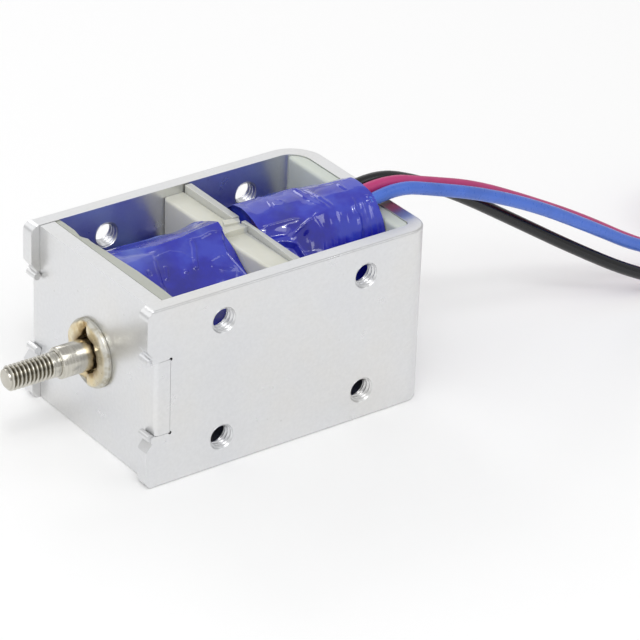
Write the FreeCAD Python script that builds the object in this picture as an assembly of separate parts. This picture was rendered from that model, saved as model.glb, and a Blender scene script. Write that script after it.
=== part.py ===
import FreeCAD, Part
import math
import os

# A push-pull solenoid with two coils in an open steel frame, standing on the frame's long edges.
# All sizes are in millimetres. X runs along the rod, from its threaded front end to the rear plate,
# Y runs from the near side plate to the far one, and Z is up. Until the last step X = 0 is the
# front plate's outer face, Y = 0 is the rod's axis and Z = 0 is the surface that the frame stands on.

V = FreeCAD.Vector

# Frame: one bent strip of steel, open at the front, and a plate that closes it
frame_length = 50.3
frame_width = 34.4
frame_height = 30.0
strip_thickness = 2.4
near_bend_radius = 3.5
far_bend_radius = 5.8
edge_break = 0.35
prong_reach = 1.5
prong_corner_radius = 1.5
tab_height = 12.5
tab_edge_radius = 0.7
front_plate_thickness = 2.6
plate_clearance = 0.04
notch_relief_radius = 0.28

# Stakes that hold the front plate: a chisel cuts a groove across each prong beside the tab, and
# the metal between the groove and the notch is pushed over the tab as a rounded lobe
stake_radius = 0.6
stake_bulge = 0.4
stake_inward_reach = 0.35
groove_near = 1.0
groove_far = 2.4
groove_depth = 1.0

# Tapped holes for fixing, four in each side plate
fixing_pitch_x = 26.0
fixing_pitch_z = 20.0
fixing_first_x = 12.0
fixing_thread_radius = 2.0
countersink_radius = 2.15

# Rod, stainless, with its threaded front end
rod_radius = 2.5
thread_radius = 2.0
thread_tip_x = -15.3
thread_length = 7.8
thread_neck_length = 1.1
tip_chamfer = 0.6
shoulder_chamfer = 0.2
rod_tail_overrun = 4.5
stroke = 4.0
running_clearance = 0.04

# Front bush, brass, clinched over the front plate
bush_spigot_radius = 4.5
bush_collar_radius = 5.5
bush_rim_radius = 4.7
bush_collar_height = 1.4
bush_mouth_radius = 4.2
bush_mouth_depth = 0.9
bush_sleeve_radius = 3.6
bush_tooth_count = 6
bush_tooth_radius = 0.75
bush_tooth_crown_radius = 0.55
fit_clearance = 0.03

# Fixed poles, plunger and the tube that guides it
tube_bore_radius = 6.05
tube_wall = 0.4
plunger_radius = 6.0
pole_radius = 6.0
front_pole_face_x = 11.5
pole_recess_depth = 1.6
pole_recess_radius = 4.6
stop_washer_radius = 5.2
stop_washer_thickness = 0.5
stop_gap = 0.1
clip_thickness = 0.6
clip_radius = 4.0
clip_groove_depth = 0.35
clip_gap_angle = 70.0
rear_stake_height = 0.3
rear_stake_radius = 5.1
rear_spigot_radius = 4.5
rear_pole_length = 9.8
bush_wall = 1.0
rear_bush_length = 9.0

# Bobbins: two alike, back to back, one turned half round about the upright axis between them
bobbin_core_wall = 1.0
flange_height_clearance = 0.15
flange_side_clearance = 0.05
bobbin_front_gap = 0.05
bobbin_end_gap = 0.55
outer_flange_thickness = 1.65
inner_flange_thickness = 2.55
seam_step = 0.5
seam_clearance = 0.03
seam_notch_x = 1.85
seam_notch_y = 2.5
wire_slot_width = 2.2
wire_slot_depth = 1.0
wire_slot_side = 0.25
core_clearance = 0.04

# Magnets, in the pockets between the bobbins
magnet_width = 3.8
magnet_height = 11.0
magnet_clearance = 0.05

# Windings and the tape round them, with the ridges that the wires under the tape raise: where
# each ridge's crown lies across the coil, and how far it stands over the round tape
tape_side_clearance = 1.2
tape_build = 0.6
winding_clearance = 0.05
front_ridge_half_width = 1.3
front_ridge_front_rise = 0.1
front_ridge_rear_rise = 2.3
rear_ridge_front_far_y = 4.0
rear_ridge_front_near_y = -1.5
rear_ridge_front_rise = 2.1
rear_ridge_middle_far_y = 2.6
rear_ridge_middle_near_y = -7.5
rear_ridge_middle_rise = 3.4
rear_ridge_rear_far_y = -2.2
rear_ridge_rear_near_y = -9.9
rear_ridge_rear_rise = 4.9

# Leads: diameter, how they leave the tape, and the coils in which their spare length is put away
lead_diameter = 2.1
lead_channel_clearance = 0.06
lead_channel_length = 5.0
lead_hold_length = 1.0
coil_centre_x = 131.0
coil_centre_y = 2.3
coil_approach = 7.45
coil_turn_radius = 12.9
coil_turns = 1.5
coil_layer_gap = 0.1
coil_tie_thickness = 0.3

# Worked out from the sizes above
half_width = frame_width / 2
inner_half_width = half_width - strip_thickness
axis_z = frame_height / 2
rear_inner_x = frame_length - strip_thickness
near_inner_radius = near_bend_radius - strip_thickness
far_inner_radius = far_bend_radius - strip_thickness
tape_radius = inner_half_width - tape_side_clearance
winding_radius = tape_radius - tape_build
tube_outer_radius = tube_bore_radius + tube_wall
core_bore_radius = tube_outer_radius + core_clearance
core_radius = core_bore_radius + bobbin_core_wall
bobbin_front_x = front_plate_thickness + bobbin_front_gap
bobbin_rear_x = rear_inner_x - bobbin_end_gap
middle_x = (bobbin_front_x + bobbin_rear_x) / 2
coil_front_x = bobbin_front_x + outer_flange_thickness
coil_rear_x = middle_x - inner_flange_thickness
flange_top_z = frame_height - flange_height_clearance
rear_pole_face_x = rear_inner_x - rear_pole_length
plunger_front_x = front_pole_face_x + stop_gap + stop_washer_thickness
plunger_rear_x = rear_pole_face_x - stop_gap - stroke - stop_washer_thickness
rod_rear_x = rear_inner_x - rod_tail_overrun
lead_radius = lead_diameter / 2
coil_outer_radius = coil_turn_radius + lead_radius
coil_inner_radius = coil_outer_radius - lead_diameter * (coil_turns + 1)
centre_x = (thread_tip_x + frame_length + rear_stake_height) / 2


def box(x0, x1, y0, y1, z0, z1):
    """A block between two corners."""
    return Part.makeBox(x1 - x0, y1 - y0, z1 - z0, V(x0, y0, z0))


def on_axis(x0, x1, radius):
    """A cylinder along the rod's axis."""
    return Part.makeCylinder(radius, x1 - x0, V(x0, 0, axis_z), V(1, 0, 0))


def ring(x0, x1, inner, outer):
    """A washer or sleeve along the rod's axis."""
    return on_axis(x0, x1, outer).cut(on_axis(x0 - 1, x1 + 1, inner))


def turned(outline):
    """A solid turned about the rod's axis from (x, radius) points."""
    points = [V(x, 0, axis_z + radius) for x, radius in outline]
    face = Part.Face(Part.makePolygon(points + points[:1]))
    return face.revolve(V(0, 0, axis_z), V(1, 0, 0), 360)


def fuse_all(shapes):
    """One solid from shapes that touch, with its seams taken out."""
    whole = shapes[0].multiFuse(shapes[1:])
    return whole.removeSplitter()


def plan_outline(half, rear_x, near_radius, far_radius, front_x):
    """A U-shaped outline seen from above: two straight sides and a rear side with rounded corners."""
    near_inset = near_radius * (1 - math.sqrt(0.5))
    far_inset = far_radius * (1 - math.sqrt(0.5))
    near_mid = V(rear_x - near_inset, -half + near_inset, 0)
    far_mid = V(rear_x - far_inset, half - far_inset, 0)
    near_start = V(rear_x - near_radius, -half, 0)
    near_end = V(rear_x, -half + near_radius, 0)
    far_start = V(rear_x, half - far_radius, 0)
    far_end = V(rear_x - far_radius, half, 0)
    edges = [
        Part.LineSegment(V(front_x, -half, 0), near_start),
        Part.Arc(near_start, near_mid, near_end),
        Part.LineSegment(near_end, far_start),
        Part.Arc(far_start, far_mid, far_end),
        Part.LineSegment(far_end, V(front_x, half, 0)),
        Part.LineSegment(V(front_x, half, 0), V(front_x, -half, 0)),
    ]
    return Part.Face(Part.Wire([edge.toShape() for edge in edges]))


def long_outer_edges(shape):
    """The frame's long outer edges, along its top and its bottom, for breaking."""
    found = []
    for edge in shape.Edges:
        middle = edge.valueAt((edge.FirstParameter + edge.LastParameter) / 2)
        level = min(abs(middle.z), abs(middle.z - frame_height)) < 0.001
        bounds = edge.BoundBox
        flat = bounds.ZLength < 0.001
        outside = max(abs(middle.y) - inner_half_width, middle.x - rear_inner_x) > strip_thickness / 2
        if level and flat and outside and bounds.DiagonalLength > strip_thickness * 2:
            found.append(edge)
    return found


def fixing_hole(x, z, side):
    """A tapped hole of the thread's outer radius and its two countersinks, through one side plate."""
    outer_y = side * half_width
    inward = V(0, -side, 0)
    bore = Part.makeCylinder(fixing_thread_radius, strip_thickness * 2, V(x, outer_y + side, z), inward)
    sink_depth = countersink_radius - fixing_thread_radius
    for y, along in ((outer_y, inward), (side * inner_half_width, -inward)):
        sink = Part.makeCone(countersink_radius, fixing_thread_radius, sink_depth, V(x, y, z), along)
        bore = bore.fuse(sink)
    return bore


def stake(side, z, up):
    """The lobe of metal that the chisel pushed over the tab and the plate's edge from one prong."""
    x = -plate_clearance - stake_radius
    lobe_z = z + up * (stake_radius - stake_bulge)
    inner_y = side * (inner_half_width - stake_inward_reach)
    length = strip_thickness + stake_inward_reach - edge_break
    return Part.makeCylinder(stake_radius, length, V(x, inner_y, lobe_z), V(0, side, 0))


def stake_groove(side, z, up):
    """What the chisel left free in the prong's front edge: its groove, and the space round the lobe."""
    lobe_x = -plate_clearance - stake_radius
    outline = [
        (-prong_reach, groove_far),
        (-prong_reach + groove_depth, groove_near),
        (lobe_x, 2 * stake_radius - stake_bulge),
        (lobe_x, -1),
        (-prong_reach - 1, -1),
        (-prong_reach - 1, groove_far),
    ]
    y = side * inner_half_width - side
    corners = [V(x, y, z + up * distance) for x, distance in outline]
    face = Part.Face(Part.makePolygon(corners + corners[:1]))
    return face.extrude(V(0, side * (strip_thickness + 2), 0))


def prong_cut(side, z, up):
    """What a rounded front corner takes off a prong at the frame's top or bottom."""
    corner_y = -half_width - 1 if side < 0 else inner_half_width - 1
    radius = prong_corner_radius
    length = strip_thickness + 2
    block = Part.makeBox(radius, length, radius)
    block.translate(V(-prong_reach, corner_y, z if up > 0 else z - radius))
    centre = V(-prong_reach + radius, corner_y, z + up * radius)
    return block.cut(Part.makeCylinder(radius, length, centre, V(0, 1, 0)))


def make_u_frame():
    """The bent strip: two side plates and the rear plate, with prongs, notches, stakes and holes."""
    outer = plan_outline(half_width, frame_length, near_bend_radius, far_bend_radius, -prong_reach)
    outer = outer.extrude(V(0, 0, frame_height))
    inner = plan_outline(inner_half_width, rear_inner_x, near_inner_radius, far_inner_radius, -prong_reach - 1)
    strip = outer.cut(inner.extrude(V(0, 0, frame_height)))
    strip = strip.makeFillet(edge_break, long_outer_edges(strip))
    low_z = axis_z - tab_height / 2
    high_z = axis_z + tab_height / 2
    cuts = []
    lobes = []
    for side in (-1, 1):
        y_low = min(side * half_width, side * inner_half_width) - 1
        notch = box(-prong_reach - 1, front_plate_thickness + plate_clearance,
                    y_low, y_low + strip_thickness + 2, low_z, high_z)
        cuts.append(notch)
        relief_x = front_plate_thickness + plate_clearance
        for z, up in ((low_z, -1), (high_z, 1)):
            relief_foot = V(relief_x, y_low, z)
            cuts.append(Part.makeCylinder(notch_relief_radius, strip_thickness + 2, relief_foot, V(0, 1, 0)))
            lobes.append(stake(side, z, up))
            cuts.append(stake_groove(side, z, up))
        for ends_z in (0, frame_height):
            up = 1 if ends_z == 0 else -1
            cuts.append(prong_cut(side, ends_z, up))
        for x in (fixing_first_x, fixing_first_x + fixing_pitch_x):
            for z in (axis_z - fixing_pitch_z / 2, axis_z + fixing_pitch_z / 2):
                cuts.append(fixing_hole(x, z, side))
    cuts.append(on_axis(rear_inner_x - 1, frame_length + 1, rear_spigot_radius + fit_clearance))
    strip = strip.cut(cuts)
    return fuse_all([strip] + lobes)


def make_front_plate():
    """The flat plate between the side plates, with a tab through each notch."""
    half = inner_half_width - plate_clearance
    margin = plate_clearance * 2
    plate = box(0, front_plate_thickness, -half, half, margin, frame_height - margin)
    low_z = axis_z - tab_height / 2 + plate_clearance
    high_z = axis_z + tab_height / 2 - plate_clearance
    tabs = box(0, front_plate_thickness, -half_width, half_width, low_z, high_z)
    plate = fuse_all([plate, tabs])
    ends = []
    for edge in plate.Edges:
        bounds = edge.BoundBox
        if abs(bounds.XMax) < 0.001 and abs(abs(bounds.YMin) - half_width) < 0.001 and bounds.YLength < 0.001:
            ends.append(edge)
    plate = plate.makeFillet(tab_edge_radius, ends)
    return plate.cut(on_axis(-1, front_plate_thickness + 1, bush_spigot_radius + fit_clearance))


def make_front_bush():
    """The brass bush: a clinched collar with punched teeth round its mouth, and a long sleeve."""
    rear_x = front_pole_face_x - pole_recess_depth
    bore = rod_radius + running_clearance
    collar_bevel = bush_collar_radius - bush_rim_radius
    body = turned([
        (-bush_collar_height, bush_mouth_radius),
        (-bush_collar_height, bush_rim_radius),
        (-bush_collar_height + collar_bevel, bush_collar_radius),
        (-fit_clearance, bush_collar_radius),
        (-fit_clearance, bush_spigot_radius),
        (front_plate_thickness, bush_spigot_radius),
        (front_plate_thickness, bush_sleeve_radius),
        (rear_x, bush_sleeve_radius),
        (rear_x, bore),
        (bush_mouth_depth - bush_collar_height, bore),
        (bush_mouth_depth - bush_collar_height, bush_mouth_radius),
    ])
    teeth = []
    tooth_x = -bush_collar_height
    for number in range(bush_tooth_count):
        angle = 2 * math.pi * (number + 0.5) / bush_tooth_count
        reach = (bore + bush_mouth_radius) / 2
        foot = V(tooth_x, reach * math.cos(angle), axis_z + reach * math.sin(angle))
        tooth = Part.makeCone(bush_tooth_crown_radius, bush_tooth_radius, bush_collar_height, foot, V(1, 0, 0))
        teeth.append(tooth)
    clear = on_axis(tooth_x - 1, rear_x, bore)
    return fuse_all([body] + teeth).cut(clear)


def make_pole(face_x, root_x, bore, recess):
    """A fixed pole: a steel plug in the guide tube, with a recessed face and a bore for the bush."""
    sign = 1 if root_x > face_x else -1
    outline = [
        (face_x, pole_recess_radius),
        (face_x, pole_radius),
        (root_x, pole_radius),
        (root_x, bore),
        (face_x + sign * recess, bore),
    ]
    return turned(outline)


def make_front_pole():
    """The front pole, held between the front plate and the guide tube by the bush's sleeve."""
    root_x = front_plate_thickness + fit_clearance
    return make_pole(front_pole_face_x, root_x, bush_sleeve_radius + fit_clearance, pole_recess_depth)


def make_rear_pole():
    """The rear pole, with its spigot through the rear plate and a ring staked over outside."""
    bore = rod_radius + bush_wall + fit_clearance
    tail_bore = rod_radius
    floor_x = rear_bush_rear_x()
    return turned([
        (rear_pole_face_x, pole_recess_radius),
        (rear_pole_face_x, pole_radius),
        (rear_inner_x - fit_clearance, pole_radius),
        (rear_inner_x - fit_clearance, rear_spigot_radius),
        (frame_length + fit_clearance, rear_spigot_radius),
        (frame_length + fit_clearance, rear_stake_radius),
        (frame_length + rear_stake_height, rear_stake_radius - rear_stake_height),
        (frame_length + rear_stake_height, tail_bore),
        (floor_x + fit_clearance, tail_bore),
        (floor_x + fit_clearance, bore),
        (rear_pole_face_x + pole_recess_depth, bore),
    ])


def rear_bush_rear_x():
    """Where the rear bush ends, inside the rear pole."""
    return rear_pole_face_x + pole_recess_depth + rear_bush_length


def make_rear_bush():
    """The brass sleeve in the rear pole that guides the rod's tail."""
    front_x = rear_pole_face_x + pole_recess_depth
    return ring(front_x, rear_bush_rear_x(), rod_radius + running_clearance, rod_radius + bush_wall)


def make_guide_tube():
    """The thin brass tube that lines both bobbins and guides the plunger."""
    front_x = bobbin_front_x
    return ring(front_x, bobbin_rear_x, tube_bore_radius, tube_outer_radius)


def make_push_rod():
    """The rod: threaded front end and its plain neck, shaft with two clip grooves, chamfered tail."""
    thread_end_x = thread_tip_x + thread_length
    step_x = thread_end_x + thread_neck_length
    groove = rod_radius - clip_groove_depth
    front_clip_x = plunger_front_x - clip_thickness
    rear_clip_x = plunger_rear_x + clip_thickness
    return turned([
        (thread_tip_x, 0),
        (thread_tip_x, thread_radius - tip_chamfer),
        (thread_tip_x + tip_chamfer, thread_radius),
        (step_x, thread_radius),
        (step_x, rod_radius - shoulder_chamfer),
        (step_x + shoulder_chamfer, rod_radius),
        (front_clip_x, rod_radius),
        (front_clip_x, groove),
        (plunger_front_x, groove),
        (plunger_front_x, rod_radius),
        (plunger_rear_x, rod_radius),
        (plunger_rear_x, groove),
        (rear_clip_x, groove),
        (rear_clip_x, rod_radius),
        (rod_rear_x - tip_chamfer, rod_radius),
        (rod_rear_x, rod_radius - tip_chamfer),
        (rod_rear_x, 0),
    ])


def make_plunger():
    """The soft steel plunger that slides in the guide tube, bored for the rod."""
    bore = rod_radius + fit_clearance
    bevel = stop_washer_thickness
    return turned([
        (plunger_front_x, bore),
        (plunger_front_x, plunger_radius - bevel),
        (plunger_front_x + bevel, plunger_radius),
        (plunger_rear_x - bevel, plunger_radius),
        (plunger_rear_x, plunger_radius - bevel),
        (plunger_rear_x, bore),
    ])


def make_stop_washer(x):
    """A thin non-magnetic washer that keeps the plunger off a pole."""
    return ring(x, x + stop_washer_thickness, clip_radius + fit_clearance, stop_washer_radius)


def make_clip(x):
    """A spring clip in a groove of the rod, open on one side."""
    inner = rod_radius - clip_groove_depth + fit_clearance
    front_x = x + fit_clearance
    clip = ring(front_x, x + clip_thickness - fit_clearance, inner, clip_radius)
    half = math.radians(clip_gap_angle / 2)
    reach = clip_radius * 2
    corners = [
        V(front_x - 1, 0, axis_z),
        V(front_x - 1, reach * math.sin(half), axis_z - reach * math.cos(half)),
        V(front_x - 1, -reach * math.sin(half), axis_z - reach * math.cos(half)),
    ]
    wedge = Part.Face(Part.makePolygon(corners + corners[:1])).extrude(V(clip_thickness + 2, 0, 0))
    return clip.cut(wedge)


def turn_half_round(shape):
    """The same shape turned half round about the upright line between the two bobbins."""
    copy = shape.copy()
    copy.rotate(V(middle_x, 0, 0), V(0, 0, 1), 180)
    return copy


def magnet_block(side, clearance):
    """The space of one magnet, between the guide tube and a side plate."""
    half = magnet_width / 2 + clearance
    near_y = tube_outer_radius + core_clearance - clearance
    far_y = inner_half_width - flange_side_clearance + clearance
    y_low, y_high = (near_y, far_y) if side > 0 else (-far_y, -near_y)
    low_z = axis_z - magnet_height / 2 - clearance
    block = box(middle_x - half, middle_x + half, y_low, y_high, low_z, low_z + magnet_height + clearance * 2)
    return block.cut(on_axis(middle_x - half - 1, middle_x + half + 1, tube_outer_radius + core_clearance))


def make_front_bobbin():
    """A moulded bobbin: core, outer flange, and an inner flange whose stepped face keys to its twin."""
    half = inner_half_width - flange_side_clearance
    bottom_z = flange_height_clearance
    core = on_axis(bobbin_front_x, middle_x - seam_step, core_radius)
    outer = box(bobbin_front_x, coil_front_x, -half, half, bottom_z, flange_top_z)
    thin_x = middle_x - seam_step - seam_clearance
    thick_x = middle_x + seam_step - seam_clearance
    far_part = box(coil_rear_x, thin_x, -seam_clearance, half, bottom_z, flange_top_z)
    near_part = box(coil_rear_x, thick_x, -half, -seam_clearance, bottom_z, flange_top_z)
    bobbin = fuse_all([core, outer, far_part, near_part])
    cuts = [on_axis(bobbin_front_x - 1, thick_x + 1, core_bore_radius)]
    for side in (-1, 1):
        cuts.append(magnet_block(side, magnet_clearance))
    slot_y = -wire_slot_side - wire_slot_width
    cuts.append(box(coil_rear_x - 1, thick_x + 1, slot_y, slot_y + wire_slot_width,
                    flange_top_z - wire_slot_depth, frame_height))
    room = plan_outline(half, bobbin_rear_x, far_inner_radius, far_inner_radius, 0)
    room = turn_half_round(room.extrude(V(0, 0, frame_height)))
    return bobbin.cut(cuts).common(room)


def seam_notch():
    """The V-shaped gap that the two bobbins leave at their seam, beside the far side plate."""
    seam_x = middle_x - seam_step
    corners = [
        V(seam_x, inner_half_width - seam_notch_y, 0),
        V(seam_x - seam_notch_x, inner_half_width, 0),
        V(seam_x + seam_notch_x, inner_half_width, 0),
    ]
    return Part.Face(Part.makePolygon(corners + corners[:1])).extrude(V(0, 0, frame_height))


def make_winding(front_x):
    """The wound copper between two flanges."""
    gap = winding_clearance
    rear_x = front_x + coil_rear_x - coil_front_x
    return ring(front_x + gap, rear_x - gap, core_radius + gap, winding_radius)


def ridge_section(x, far_y, near_y, rise):
    """The four corners, across the coil, of tape drawn straight from the round coil up to a flat crown."""
    crown_z = axis_z + tape_radius + rise

    def foot(y, sign):
        reach = math.hypot(y, crown_z - axis_z)
        angle = math.atan2(y, crown_z - axis_z) + sign * math.acos(tape_radius / reach)
        radius = (tape_radius + winding_radius) / 2
        return V(x, radius * math.sin(angle), axis_z + radius * math.cos(angle))

    return [foot(far_y, 1), V(x, far_y, crown_z), V(x, near_y, crown_z), foot(near_y, -1)]


def solid_between(rows):
    """A solid with flat triangles between rows of corners, closed at both ends."""
    faces = []
    for row, following in zip(rows, rows[1:]):
        for index in range(len(row)):
            after = (index + 1) % len(row)
            for corners in ((row[index], row[after], following[after]),
                            (row[index], following[after], following[index])):
                faces.append(Part.Face(Part.makePolygon(list(corners) + [corners[0]])))
    for row in (rows[0], rows[-1]):
        faces.append(Part.Face(Part.makePolygon(row + row[:1])))
    solid = Part.makeSolid(Part.makeShell(faces))
    if solid.Volume < 0:
        solid.reverse()
    return solid


def make_tape(sections):
    """Tape round a coil, with the ridge that the wires under it raise, and open for the winding."""
    front_x = sections[0][0]
    rear_x = sections[-1][0]
    ridge = solid_between([ridge_section(*section) for section in sections])
    skin = on_axis(front_x, rear_x, tape_radius).fuse(ridge).removeSplitter()
    return skin.cut(on_axis(front_x - 1, rear_x + 1, winding_radius + winding_clearance))


def make_front_coil_tape():
    """The front coil's tape, its crown lifted towards the rear by the wires under it."""
    front_x = coil_front_x + winding_clearance
    rear_x = coil_rear_x - winding_clearance
    half = front_ridge_half_width
    return make_tape([
        (front_x, half, -half, front_ridge_front_rise),
        (rear_x, half, -half, front_ridge_rear_rise),
    ])


def make_rear_coil_tape():
    """The rear coil's tape, drawn up over the three leads that it holds down."""
    front_x = 2 * middle_x - coil_rear_x + winding_clearance
    rear_x = 2 * middle_x - coil_front_x - winding_clearance
    middle = (front_x + rear_x) / 2
    tape = make_tape([
        (front_x, rear_ridge_front_far_y, rear_ridge_front_near_y, rear_ridge_front_rise),
        (middle, rear_ridge_middle_far_y, rear_ridge_middle_near_y, rear_ridge_middle_rise),
        (rear_x, rear_ridge_rear_far_y, rear_ridge_rear_near_y, rear_ridge_rear_rise),
    ])
    channels = []
    for points in lead_routes.values():
        start = V(*points[0])
        along = V(*points[1]) - start
        channel = Part.makeCylinder(lead_radius + lead_channel_clearance, lead_channel_length, start, along)
        channels.append(channel)
    return tape.cut(channels)


def layer_z(layer):
    """The height of a coiled lead's centre line, counted in layers from the tie that it lies on."""
    return coil_tie_thickness + lead_radius + layer * (lead_diameter + coil_layer_gap)


# Where each lead runs: out of the tape, over the rear plate and down to its coil
lead_end_x = coil_centre_x - coil_approach
lead_start_x = 2 * middle_x - coil_front_x - winding_clearance - lead_hold_length
lead_end_y = coil_centre_y - coil_turn_radius
lead_routes = {
    "blue_lead": [
        (lead_start_x, -8.4, 31.9),
        (49.6, -8.5, 33.2),
        (57.4, -8.6, 30.7),
        (67.0, -8.6, 27.3),
        (78.0, -8.6, 22.2),
        (90.0, -8.6, 15.1),
        (102.0, -8.7, 7.7),
        (113.0, -10.2, 5.2),
        (lead_end_x, lead_end_y, layer_z(2)),
    ],
    "red_lead": [
        (lead_start_x, -6.05, 32.45),
        (49.6, -6.1, 33.25),
        (57.4, -6.2, 30.8),
        (67.0, -6.2, 27.6),
        (78.0, -6.2, 22.0),
        (90.0, -6.2, 15.4),
        (102.5, -6.3, 7.4),
        (113.0, -9.2, 3.1),
        (lead_end_x, lead_end_y, layer_z(1)),
    ],
    "black_lead": [
        (lead_start_x, -3.7, 32.3),
        (49.4, -3.7, 33.2),
        (57.0, -3.7, 30.3),
        (66.0, -3.8, 25.4),
        (76.0, -5.0, 18.9),
        (87.0, -7.6, 11.8),
        (97.5, -10.4, 5.6),
        (107.5, -11.6, 1.3),
        (115.5, -10.9, 1.2),
        (lead_end_x, lead_end_y, layer_z(0)),
    ],
}
lead_layers = {"blue_lead": 2, "red_lead": 1, "black_lead": 0}


def cord_path(points):
    """Straight runs joined by tangent arcs, each as large as its two runs allow."""
    corners = [V(*point) for point in points]
    edges = []
    radii = []
    at = corners[0]
    for before, corner, after in zip(corners, corners[1:], corners[2:]):
        back = (before - corner).normalize()
        ahead = (after - corner).normalize()
        turn = math.pi - back.getAngle(ahead)
        reach = 0.45 * min((before - corner).Length, (after - corner).Length)
        radius = reach / math.tan(turn / 2)
        radii.append(radius)
        start = corner + back * reach
        end = corner + ahead * reach
        inward = (back + ahead).normalize()
        middle = corner + inward * (radius / math.cos(turn / 2) - radius)
        edges.append(Part.LineSegment(at, start).toShape())
        edges.append(Part.Arc(start, middle, end).toShape())
        at = end
    edges.append(Part.LineSegment(at, corners[-1]).toShape())
    return Part.Wire(edges), radii


def make_lead(name):
    """One lead's tube, from its joint to its coil."""
    points = lead_routes[name]
    path, radii = cord_path(points)
    start = V(*points[0])
    along = V(*points[1]) - start
    section = Part.Wire([Part.makeCircle(lead_radius, start, along)])
    tube = path.makePipeShell([section], True, False)
    expected = math.pi * lead_radius ** 2 * path.Length
    print(name, "length", round(path.Length, 1), "smallest radius", round(min(radii), 1),
          "volume over section times length", round(tube.Volume / expected, 4))
    return tube


def make_lead_coil(name):
    """The outer shape of a lead's spare length, wound flat."""
    low_z = layer_z(lead_layers[name]) - lead_radius
    centre = V(coil_centre_x, coil_centre_y, low_z)
    outer = Part.makeCylinder(coil_outer_radius, lead_diameter, centre)
    return outer.cut(Part.makeCylinder(coil_inner_radius, lead_diameter, centre))


def build_nodes():
    """Every node by name."""
    bobbin = make_front_bobbin()
    notch = seam_notch()
    nodes = {
        "u_frame": make_u_frame(),
        "front_plate": make_front_plate(),
        "front_bush": make_front_bush(),
        "front_pole": make_front_pole(),
        "rear_pole": make_rear_pole(),
        "rear_bush": make_rear_bush(),
        "guide_tube": make_guide_tube(),
        "front_bobbin": bobbin.cut(notch),
        "rear_bobbin": turn_half_round(bobbin).cut(notch),
        "near_magnet": magnet_block(-1, 0),
        "far_magnet": magnet_block(1, 0),
        "front_winding": make_winding(coil_front_x),
        "rear_winding": make_winding(2 * middle_x - coil_rear_x),
        "front_coil_tape": make_front_coil_tape(),
        "rear_coil_tape": make_rear_coil_tape(),
        "push_rod": make_push_rod(),
        "plunger": make_plunger(),
        "front_stop_washer": make_stop_washer(plunger_front_x - stop_washer_thickness),
        "rear_stop_washer": make_stop_washer(plunger_rear_x),
        "front_clip": make_clip(plunger_front_x - clip_thickness),
        "rear_clip": make_clip(plunger_rear_x),
    }
    for name in lead_routes:
        nodes[name] = make_lead(name)
        nodes[name + "_coil"] = make_lead_coil(name)
    return nodes


def export(nodes):
    """Write one STEP file per node, with the part's origin under the middle of the solenoid."""
    os.makedirs("parts", exist_ok=True)
    for name, shape in nodes.items():
        placed = shape.copy()
        placed.translate(V(-centre_x, 0, 0))
        if not placed.isValid():
            print("not valid:", name)
        placed.exportStep("parts/" + name + ".step")
        print(name, len(placed.Solids), "solids", round(placed.Volume, 2), "mm3")


export(build_nodes())
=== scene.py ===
import math
import random

import bmesh
import bpy
import numpy as np
from mathutils import Matrix, Vector


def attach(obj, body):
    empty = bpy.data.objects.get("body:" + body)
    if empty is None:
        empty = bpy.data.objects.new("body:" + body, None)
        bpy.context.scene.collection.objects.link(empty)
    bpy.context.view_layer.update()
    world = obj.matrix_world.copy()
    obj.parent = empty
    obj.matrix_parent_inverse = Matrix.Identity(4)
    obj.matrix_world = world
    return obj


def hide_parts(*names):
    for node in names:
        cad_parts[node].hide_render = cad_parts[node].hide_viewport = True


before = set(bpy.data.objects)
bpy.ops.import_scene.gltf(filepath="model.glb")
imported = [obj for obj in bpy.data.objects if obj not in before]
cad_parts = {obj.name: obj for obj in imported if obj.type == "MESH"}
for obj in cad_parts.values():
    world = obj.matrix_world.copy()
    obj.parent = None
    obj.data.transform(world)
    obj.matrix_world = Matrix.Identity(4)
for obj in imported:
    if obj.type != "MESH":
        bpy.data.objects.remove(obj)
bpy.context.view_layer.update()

# Lengths below are in millimetres, with X = 0 at the front plate's outer face, Y = 0 on the rod's
# axis and Z = 0 on the floor, as in the part's own source. P puts such a point in the row frame.
CENTRE_X = 17.65
AXIS_Z = 15.0
BODY = "solenoid"
ROD = "plunger_and_rod"


def P(x, y, z):
    """A point in metres, in the row frame."""
    return Vector(((x - CENTRE_X) / 1000, y / 1000, z / 1000))


def add_object(name, data):
    """A new object in the scene."""
    obj = bpy.data.objects.new(name, data)
    bpy.context.scene.collection.objects.link(obj)
    return obj


# Camera, solved from the photograph

CAMERA_PLACE = (-249.06, -389.47, 277.40)
CAMERA_RIGHT = Vector((0.81106, -0.58401, 0.03338))
CAMERA_UP = Vector((0.25961, 0.41050, 0.87413))
CAMERA_BACK = Vector((-0.52421, -0.70031, 0.48455))
LENS_LENGTH = 198.6
SENSOR_WIDTH = 36.0

camera_data = bpy.data.cameras.new("camera")
camera_data.sensor_width = SENSOR_WIDTH
camera_data.lens = LENS_LENGTH
camera_data.clip_start = 0.01
camera_data.clip_end = 20.0
camera = add_object("camera", camera_data)
turn = Matrix((CAMERA_RIGHT, CAMERA_UP, CAMERA_BACK)).transposed().to_4x4()
camera.matrix_world = Matrix.Translation(P(*CAMERA_PLACE)) @ turn
bpy.context.scene.camera = camera
bpy.context.scene.view_settings.view_transform = "Standard"


# Material helpers

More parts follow.
